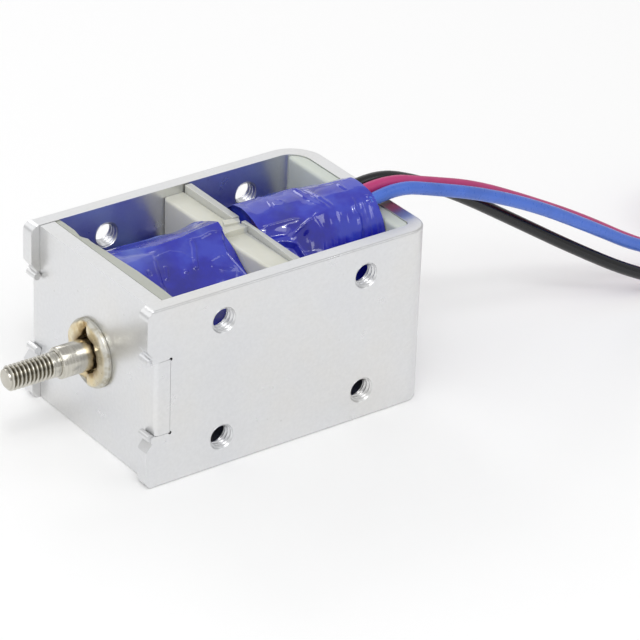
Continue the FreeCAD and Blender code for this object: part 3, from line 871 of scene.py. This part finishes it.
def hollow(x, arc, rim, inside, depth, slope):
    """An area that sinks away from its rim, down to a depth."""
    distance, _, _ = along_line(x, arc, rim)
    return -np.where(inside, depth * np.clip(distance / slope, 0, 1), 0)


def marks_height(x, arc, marks):
    """The height that marks add, each given as (kind, height, width, place on the tape, next place, ...)."""
    return sum(kind(x, arc, on_tape(*places), height, width) for kind, height, width, *places in marks)


def tape_sheet(name, node, stations, folds, ends):
    """A closed skin round a coil, dense above, its outside shaped by the stations and the folds."""
    degrees = np.concatenate([np.arange(-78, 96, 0.55), np.arange(96, 282, 3.0)])
    shares = np.concatenate([[0, 0.002], np.linspace(0.008, 0.992, 132), [0.998, 1]])
    share_grid, degree_grid = np.meshgrid(shares, degrees, indexing="ij")
    wrapped = np.where(degree_grid > 180, degree_grid - 360, degree_grid)
    front, rear = ends(wrapped)
    x = front + (rear - front) * share_grid
    radius = outline_radius(stations, np.clip(x, stations[0][0], stations[-1][0]), wrapped)
    radius = smooth_over(smooth_over(radius, 3, 1), 6, 0)
    seen = np.clip((95 - np.abs(wrapped - 8)) / 14, 0, 1)
    radius = radius + folds(x, wrapped * MM_PER_DEGREE) * seen
    radius = np.maximum(radius, TAPE_LEAST_RADIUS)
    inner = np.full_like(radius[0], TAPE_INNER_RADIUS)
    front_edge = [(front[0] + LIP, inner), (front[0] + LIP, radius[0] - FILM), (x[0], radius[0] - FILM)]
    rear_edge = [(x[-1], radius[-1] - FILM), (rear[0] - LIP, radius[-1] - FILM), (rear[0] - LIP, inner)]
    rings = front_edge + list(zip(x, radius)) + rear_edge
    # The bore's faces look out at the film, so that the gap under a lifted edge shows blue
    columns = len(degrees)
    faces = grid_faces(len(rings), columns, flip=True)
    faces += grid_faces(len(rings), columns, closed=True)[-columns:]
    obj = mesh_piece(name, ring_points(rings, np.radians(degrees)), faces, "blue_tape")
    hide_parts(node)
    return obj


# Stations along each tape: (x, [(degrees from the top, radius), ...])
front_stations = [
    (4.35, [(-40, 13.60), (-12, 13.65), (0, 13.80), (12, 13.95), (26, 14.20), (40, 13.95), (60, 13.60)]),
    (10.0, [(-36, 13.60), (-14, 13.85), (-3, 14.20), (6, 14.15), (18, 14.00), (30, 13.95), (46, 13.65)]),
    (16.0, [(-48, 13.60), (-25, 13.95), (-12, 14.50), (-2, 15.15), (6, 14.90), (18, 14.10),
            (30, 13.72), (60, 13.60)]),
    (20.2, [(-52, 13.60), (-33, 13.88), (-22, 14.55), (-8, 15.10), (-1, 15.65), (5, 15.25), (13, 14.50),
            (24, 13.98), (35, 13.80), (50, 13.95), (61, 14.30), (72, 13.95), (84, 13.60)]),
    (FRONT_TAPE_REAR, [(-54, 13.60), (-37, 13.78), (-27, 14.20), (-18, 14.75), (-8, 15.20), (-1, 15.95),
             (5, 15.50), (13, 14.95), (31, 14.30), (42, 14.00), (52, 14.50), (61, 15.10), (72, 14.30),
             (84, 13.60)]),
]

rear_stations = [
    (REAR_TAPE_FRONT, [(-46, 13.60), (-32, 13.90), (-18, 14.75), (-6, 15.75), (4, 15.95), (14, 16.10),
             (24, 15.00), (36, 14.10), (52, 13.60)]),
    (36.7, [(-64, 13.60), (-50, 14.60), (-36, 16.60), (-24, 18.40), (-10, 17.35), (8, 16.65),
            (20, 15.45), (34, 14.30), (54, 13.60)]),
]
drawn_end = [(-72, 13.60), (-60, 14.45), (-50, 15.95), (-41.4, 17.65), (-36, 18.80), (-29.8, 19.60),
             (-26.5, 20.00), (-19, 19.60), (-11, 19.00), (-8, 18.65), (-4, 17.80), (2, 16.60),
             (10, 15.55), (20, 14.75), (34, 13.95), (50, 13.60)]
rear_stations += [(45.0, drawn_end), (45.65, drawn_end)]

front_marks = [
    (fold, 0.26, 0.6, (4.2, 14), (8.8, 7.8), (11.7, 1.6), (15.6, -1.3), (20.2, 0.0), (22.6, -1.4)),
    (fold, -0.18, 0.9, (5.5, 8), (8.6, 3.0), (10.8, -1.5)),
    (loop_fold, 0.32, 0.46, (16.5, -7.5), (16.25, -11), (15.4, -17.2), (14.8, -23.5)),
    (fold, 0.24, 0.34, (15.9, -4.8), (17.0, -5.6), (18.2, -6.6), (20.1, -5.3), (21.7, -6.7)),
    (loop_fold, 0.24, 0.40, (12.9, -24.0), (13.0, -24.4)),
    (loop_fold, 0.26, 0.36, (10.3, -17), (9.9, -21.2), (9.4, -25.0)),
    (loop_fold, -0.22, 0.38, (7.6, -15.0), (7.5, -17.6)),
    (fold, 0.34, 0.42, (9.9, -5.5), (8.9, -16.3), (8.1, -26.5), (8.0, -40)),
    (fold, 0.12, 0.5, (16.7, -23), (19.4, -21), (20.6, -24.8)),
    (fold, 0.14, 0.6, (16.7, -25.1), (18.6, -28.5), (20.5, -32.4)),
    (lap, 0.20, 1.6, (15.4, -20.1), (14.2, -11.1), (12.6, -6.0), (9.9, -6.7)),
    (fold, 0.12, 0.6, (8.0, 30), (12.0, 26), (17.0, 22)),
    (fold, 0.14, 0.7, (6.0, 48), (11.0, 52), (15.0, 60)),
]
front_rim = on_tape((21.9, -6.2), (21.0, -12.8), (20.45, -21.2), (21.15, -29.0), (21.9, -37.4), (22.5, -44))

rear_marks = [
    (fold, 0.38, 0.46, (37.6, 8), (37.4, -6.4), (37.5, -15.3), (37.9, -23.5)),
    (fold, 0.20, 0.38, (38.3, 4), (38.4, -9.1), (38.5, -16.8), (38.8, -23.0)),
    (fold, -0.10, 0.7, (36.7, 6), (36.6, -8), (37.0, -18)),
    (fold, 0.46, 0.42, (27.9, -13.8), (30.1, -16.0), (32.0, -18.0), (33.6, -20.8)),
    (fold, -0.55, 1.0, (28.2, -18.5), (30.0, -21.5), (31.5, -24.5)),
    (fold, 0.42, 0.40, (31.0, -26.5), (32.8, -25.1), (34.0, -24.4), (35.2, -23.9)),
    (fold, 0.16, 0.5, (35.2, -23.9), (35.6, -30), (35.2, -38), (34.9, -46)),
    (fold, -0.42, 1.6, (33.4, -27), (33.8, -33), (33.4, -40)),
    (loop_fold, 0.12, 0.2, (35.3, -23.4), (35.9, -22.6)),
    (fold, 0.12, 0.55, (36.4, -25.0), (36.4, -32.3), (36.6, -42)),
    (fold, 0.10, 0.5, (37.6, -26), (37.5, -33), (37.7, -42)),
    (fold, 0.14, 0.6, (39.1, -25), (38.8, -33.0), (39.0, -43)),
    (fold, 0.08, 0.5, (40.4, -27), (40.1, -34.0), (40.0, -43)),
    (fold, 0.28, 0.40, (42.2, -22), (41.5, -28.6), (41.8, -32.3), (41.3, -42)),
    (fold, -0.16, 0.5, (42.3, -28), (42.4, -34), (42.2, -42)),
    (fold, 0.26, 0.36, (43.1, -24), (43.0, -32.9), (43.0, -44)),
    (fold, 0.18, 0.36, (44.1, -29), (44.0, -35), (44.1, -44)),
    (fold, 0.08, 0.2, (32.8, 2.1), (33.5, 0.5), (33.95, -3.8), (33.2, -5.9), (32.3, -4.0), (32.8, 2.1)),
    (lap, 0.12, 0.8, (31.6, -5.5), (32.2, 0.8), (32.6, 6.5), (32.7, 16)),
    (loop_fold, 0.14, 0.26, (42.65, -9.5), (42.55, -15.2)),
    (fold, 0.14, 0.4, (40.8, 0), (42.9, -4.2), (44.6, -9.6)),
    (fold, 0.06, 0.6, (36.0, -12), (39.0, -14), (42.0, -17), (44.8, -19)),
    (fold, 0.12, 0.6, (29.0, 24), (33.0, 22), (37.0, 20)),
    (fold, 0.14, 0.7, (38.0, 30), (42.0, 26), (45.5, 22)),
]
rear_rim = on_tape((28.6, -25.0), (29.4, -26.0), (30.5, -28.3), (31.6, -31.7), (32.0, -39.0), (31.9, -45))


def front_folds(x, arc):
    """The front tape's ridge, blisters and creases, and its end that sinks behind a raised rim."""
    _, side, _ = along_line(x, arc, front_rim)
    inside = (side > 0) & (arc < -5.5 * MM_PER_DEGREE) & (arc > -44 * MM_PER_DEGREE)
    crumple = undulation(x, arc, 0.018, 3.5, 3) + facets(x, arc, 0.05, 5.5, 12)
    rim = hollow(x, arc, front_rim, inside, 0.62, 0.6) + fold(x, arc, front_rim, 0.22, 0.26)
    return crumple + marks_height(x, arc, front_marks) + rim


def rear_folds(x, arc):
    """The rear tape's pleats over the leads, its pulled corners and its puckered end."""
    _, side, _ = along_line(x, arc, rear_rim)
    inside = (side < 0) & (arc < -25 * MM_PER_DEGREE) & (x < 32.2)
    crumple = undulation(x, arc, 0.022, 3.0, 8) + facets(x, arc, 0.045, 5.0, 31)
    rim = hollow(x, arc, rear_rim, inside, 0.5, 0.5) + fold(x, arc, rear_rim, 0.24, 0.28)
    pucker = np.clip(1 - np.hypot((x - 44.4) / 1.1, arc + 6.4), 0, 1)
    puckered = pucker * (undulation(x, arc, 0.11, 0.7, 21) + 0.06)
    lifted = 0.35 * np.clip(1 - (x - REAR_TAPE_FRONT) / 1.3, 0, 1)
    lifted = lifted * np.clip(1 - np.abs(arc - 1.4) / 2.6, 0, 1)
    return crumple + marks_height(x, arc, rear_marks) + rim + puckered + lifted


def front_ends(degrees):
    """Where the front tape's two cut edges run."""
    front = FRONT_TAPE_FRONT + 0.06 * (1 + np.sin(np.radians(degrees * 3.1)))
    lip = between(13.8 * np.sin(np.radians(degrees)), front_strip_edge) + 0.05
    front = np.where(np.abs(degrees) < 75, np.maximum(front, lip), front)
    rear = FRONT_TAPE_REAR - 0.04 * (1 + np.sin(np.radians(degrees * 4.3 + 40)))
    return front, rear


def rear_ends(degrees):
    """Where the rear tape's two cut edges run; the rear one is drawn back over the leads."""
    front = REAR_TAPE_FRONT + 0.05 * (1 + np.sin(np.radians(degrees * 3.7)))
    drawn = between(degrees, [
        (-60, 0.02), (-44, 0.05), (-34, 0.25), (-28, 0.40), (-12, 0.30), (4, 0.20), (20, 0.05),
    ])
    return front, REAR_TAPE_REAR - drawn - 0.03 * np.sin(np.radians(degrees * 9))


tape_sheet("front_coil_film", "front_coil_tape", front_stations, front_folds, front_ends)
tape_sheet("rear_coil_film", "rear_coil_tape", rear_stations, rear_folds, rear_ends)


# The rod, with its rolled thread

THREAD_PITCH = 0.7
THREAD_TIP = -15.3
THREAD_END = -7.5
THREAD_START = THREAD_TIP + 0.02
CREST_RADIUS = 1.97
ROOT_RADIUS = 1.56
RUNOUT_RADIUS = 1.93
RUNOUT_LENGTH = 0.55
RINGS_PER_TURN = 18
ROD_RADIUS = 2.5
NECK_RADIUS = 1.99
GROOVE_RADIUS = 2.15
GROOVE_WIDTH = 0.6
ROD_COLUMNS = 96

# Behind the thread: the neck, the rounded shoulder, the clip grooves and the tail, as (x, radius)
rod_outline = [
    (-7.35, RUNOUT_RADIUS), (-7.1, NECK_RADIUS), (-6.46, NECK_RADIUS), (-6.40, 1.97), (-6.40, 2.2),
    (-6.38, 2.30), (-6.22, 2.46), (-6.16, ROD_RADIUS), (-2.0, ROD_RADIUS), (-1.9, ROD_RADIUS),
]
for groove_x in (11.5, 33.5):
    rod_outline += [(groove_x, ROD_RADIUS), (groove_x, GROOVE_RADIUS),
                    (groove_x + GROOVE_WIDTH, GROOVE_RADIUS), (groove_x + GROOVE_WIDTH, ROD_RADIUS)]
rod_outline += [(42.8, ROD_RADIUS), (43.3, 2.0), (43.4, 1.9)]


def thread_shape(turns):
    """How high a 60 degree thread stands, from 0 at its root to 1 at its crest."""
    phase = turns - math.floor(turns)
    rise = abs(phase - 0.5) * 2
    return min(1.0, max(0.0, (rise - 0.16) / 0.70))


def thread_radius(x, angle):
    """The rolled thread, which grows from the chamfered tip and runs out at its end."""
    turns = (x - THREAD_TIP) / THREAD_PITCH - angle / (2 * math.pi)
    fade = min(1.0, max(0.0, (THREAD_END - x) / RUNOUT_LENGTH))
    crest = min(CREST_RADIUS, 1.40 + (x - THREAD_TIP) * 1.15)
    root = min(ROOT_RADIUS, 1.40 + (x - THREAD_TIP) * 0.6)
    low = root + (RUNOUT_RADIUS - root) * (1 - fade)
    return low + max(0.0, crest - low) * thread_shape(turns)


def make_rod():
    """The push rod: helical thread, neck, shoulder, shaft with its clip grooves, and tail."""
    length = THREAD_END - THREAD_TIP
    steps = int(length / THREAD_PITCH * RINGS_PER_TURN)
    angles = turns_of(ROD_COLUMNS)
    rings = [(THREAD_TIP, 1.30), (THREAD_START, 1.36)]
    for step in range(1, steps + 1):
        x = THREAD_START + length * step / steps
        rings.append((x, [thread_radius(x, angle) for angle in angles]))
    rings += rod_outline
    faces = grid_faces(len(rings), ROD_COLUMNS, flip=True) + end_caps(len(rings), ROD_COLUMNS, flip=True)
    obj = mesh_piece("threaded_push_rod", ring_points(rings, angles), faces, "stainless", ROD)
    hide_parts("push_rod")
    return obj


make_rod()


# The bush, its collar clinched by a punch. Degrees run from the top over the near side.

BUSH_COLUMNS = 288
BUSH_BORE = 2.54
SLEEVE_END = 9.9
SLEEVE_RADIUS = 3.6
SEAT_RADIUS = 4.5
SEAT_END = 2.6
bush_mouth = [
    (4, 3.45), (10, 3.05), (24, 2.92), (38, 3.05), (52, 2.86), (78, 2.80), (92, 3.10), (112, 2.86),
    (138, 2.92), (158, 2.95), (172, 3.10), (179, 3.75), (205, 3.85), (212, 3.30), (222, 3.10), (238, 3.20),
    (246, 3.60), (268, 3.65), (280, 3.10), (292, 2.75), (318, 2.72), (334, 2.90), (341, 3.90), (352, 4.15),
]
bush_height = [
    (2, 1.20), (14, 1.30), (35, 1.12), (56, 1.32), (70, 1.20), (88, 1.34), (110, 1.18), (128, 1.34),
    (145, 1.16), (160, 1.42), (174, 1.30), (180, 0.62), (194, 0.52), (202, 0.70), (210, 1.42), (226, 1.36),
    (240, 1.12), (252, 1.30), (270, 1.14), (290, 1.40), (318, 1.44), (336, 1.34), (341, 0.70), (352, 0.58),
]


def bush_outline(m, h, rough):
    """The bush's outline as (x, radius), from its mouth's radius, its height and its roughness there."""
    crown = 4.55 + 0.16 * rough
    return [
        (0.0, 5.46), (-0.16, 5.52), (-0.42, 5.54), (-0.66, 5.50 + 0.02 * rough), (-0.74, 5.40),
        (-0.80, 5.30 + 0.03 * rough), (-h * 0.82, 5.20 + 0.03 * rough), (-h * 0.93, 5.02), (-h * 0.99, 4.80),
        (-h, crown), (-h, (crown * 2 + m) / 3), (-h * (0.98 + 0.03 * rough), (crown + m * 2) / 3),
        (-h * 0.93, m + 0.12), (-h * 0.82, m + 0.02), (-h * 0.6, m), (-h * 0.2, m + 0.04), (0.5, m + 0.1),
        (1.2, 3.50), (1.2, 3.0), (1.2, BUSH_BORE), (SLEEVE_END, BUSH_BORE), (SLEEVE_END, SLEEVE_RADIUS),
        (SEAT_END, SLEEVE_RADIUS), (SEAT_END, SEAT_RADIUS), (0.0, SEAT_RADIUS),
    ]


def make_bush():
    """The brass bush, with the uneven mouth that clinching left."""
    chooser = random.Random(5)
    waves = [(chooser.randint(5, 23), chooser.uniform(0, 6.28), chooser.uniform(0.2, 1.0)) for _ in range(9)]
    angles = turns_of(BUSH_COLUMNS)
    outlines = []
    for angle in angles:
        mouth, height = (between(math.degrees(angle), stops, 360) for stops in (bush_mouth, bush_height))
        rough = sum(size * math.sin(number * angle + phase) for number, phase, size in waves) / len(waves)
        outlines.append(bush_outline(mouth, height, rough))
    rings = [zip(*ring) for ring in zip(*outlines)]
    points = ring_points(rings, [-angle for angle in angles])
    faces = grid_faces(len(rings), BUSH_COLUMNS, closed=True)
    obj = mesh_piece("clinched_front_bush", points, faces, "bush_brass")
    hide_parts("front_bush")


make_bush()


# The threads in the tapped holes

FRAME_HALF = 17.2
HOLE_DEPTH = 2.4
HOLE_XS = (12.0, 38.0)
HOLE_ZS = (5.0, 25.0)
HOLE_RADIUS = 1.996
HOLE_THREAD_RADIUS = 1.985
HOLE_THREAD_HEIGHT = 0.33
HOLE_ROWS = 56
HOLE_COLUMNS = 56


def make_hole_thread(x, z, side, number):
    """The thread ridges inside one tapped hole, closed by a skin against the hole's wall."""
    angles = turns_of(HOLE_COLUMNS)
    rings = []
    for row in range(HOLE_ROWS):
        inward = 0.06 + (HOLE_DEPTH - 0.12) * row / (HOLE_ROWS - 1)
        height = HOLE_THREAD_HEIGHT * min(1.0, inward / 0.35, (HOLE_DEPTH - inward) / 0.35)
        turns = [inward / THREAD_PITCH + side * angle / (2 * math.pi) for angle in angles]
        rings.append((inward, [HOLE_THREAD_RADIUS - height * thread_shape(turn) for turn in turns]))
    for inward in (HOLE_DEPTH - 0.05, 0.05):
        rings.append((inward, [HOLE_RADIUS] * HOLE_COLUMNS))
    points = []
    for inward, radii in rings:
        y = side * (FRAME_HALF - inward)
        points += [P(x + radius * math.sin(angle), y, z + radius * math.cos(angle))
                   for radius, angle in zip(radii, angles)]
    faces = grid_faces(len(rings), HOLE_COLUMNS, flip=side > 0, closed=True)
    obj = mesh_piece("hole_thread_%d" % number, points, faces, "zinc_steel")


hole_places = [(side, x, z) for side in (-1, 1) for x in HOLE_XS for z in HOLE_ZS]
for hole_number, (hole_side, hole_x, hole_z) in enumerate(hole_places, 1):
    make_hole_thread(hole_x, hole_z, hole_side, hole_number)


# The CAD nodes get their looks, also those that a piece above stands for

nodes_with_look = {
    "zinc_steel": ("u_frame", "front_plate"),
    "bush_brass": ("front_bush", "rear_bush"),
    "pole_steel": ("front_pole", "rear_pole", "plunger"),
    "tube_brass": ("guide_tube",),
    "bobbin_nylon": ("front_bobbin", "rear_bobbin"),
    "magnet": ("near_magnet", "far_magnet"),
    "copper_wire": ("front_winding", "rear_winding"),
    "blue_tape": ("front_coil_tape", "rear_coil_tape"),
    "stainless": ("push_rod",),
    "shim": ("front_stop_washer", "rear_stop_washer"),
    "spring_steel": ("front_clip", "rear_clip"),
}
for look, nodes in nodes_with_look.items():
    for node in nodes:
        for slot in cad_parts[node].material_slots:
            slot.material = looks[look]


# Floor, light and surroundings

FLOOR_REACH = 4.0
WORLD_STRENGTH = 0.62

# Each light's direction from the part, its distance and size in metres, and its radiance
lights = {
    "key": ((-0.30, -0.53, 0.80), 1.3, 0.80, 2.25),
    "spark": ((-0.34, -0.50, 0.80), 1.25, 0.12, 30),
    "left_side": ((-0.85, -0.10, 0.50), 1.2, 1.0, 0.7),
    "behind": ((0.48, 0.72, 0.46), 0.9, 0.50, 0.42),
    "far_left": ((-0.464, 0.70, 0.50), 1.2, 0.7, 0.65),
    "near_right": ((0.524, -0.50, 0.69), 1.2, 0.34, 1.35),
    "sheen": ((0.10, 0.84, 0.54), 1.0, 0.30, 3.0),
}


def stage_floor():
    """A wide, pale, matt floor."""
    finish = Finish("floor_look", (0.86, 0.86, 0.86), 0.6)
    pale = finish.ramp(finish.noise(3, 2), [(0.3, (0.955, 0.955, 0.955)), (0.7, (0.965, 0.965, 0.965))])
    finish.feed("Base Color", pale)
    mesh = bpy.data.meshes.new("floor")
    corners = [(x * FLOOR_REACH, y * FLOOR_REACH, 0) for x, y in ((-1, -1), (1, -1), (1, 1), (-1, 1))]
    mesh.from_pydata(corners, [], [(0, 1, 2, 3)])
    mesh.materials.append(finish.material)
    floor = add_object("floor", mesh)


def soft_light(name, direction, distance, size, radiance):
    """A square softbox that faces the part, with its brightness as seen from the part."""
    data = bpy.data.lights.new(name, "AREA")
    data.shape = "SQUARE"
    data.size = size
    data.energy = radiance * math.pi * size ** 2
    light = add_object(name, data)
    aim = Vector((0, 0, AXIS_Z / 1000))
    light.location = aim + Vector(direction).normalized() * distance
    light.rotation_euler = (aim - light.location).to_track_quat("-Z", "Y").to_euler()


stage_floor()
for name, values in lights.items():
    soft_light(name, *values)
world = bpy.data.worlds.new("surroundings")
bpy.context.scene.world = world
world.use_nodes = True
background = world.node_tree.nodes["Background"]
background.inputs["Color"].default_value = (1, 1, 1, 1)
background.inputs["Strength"].default_value = WORLD_STRENGTH
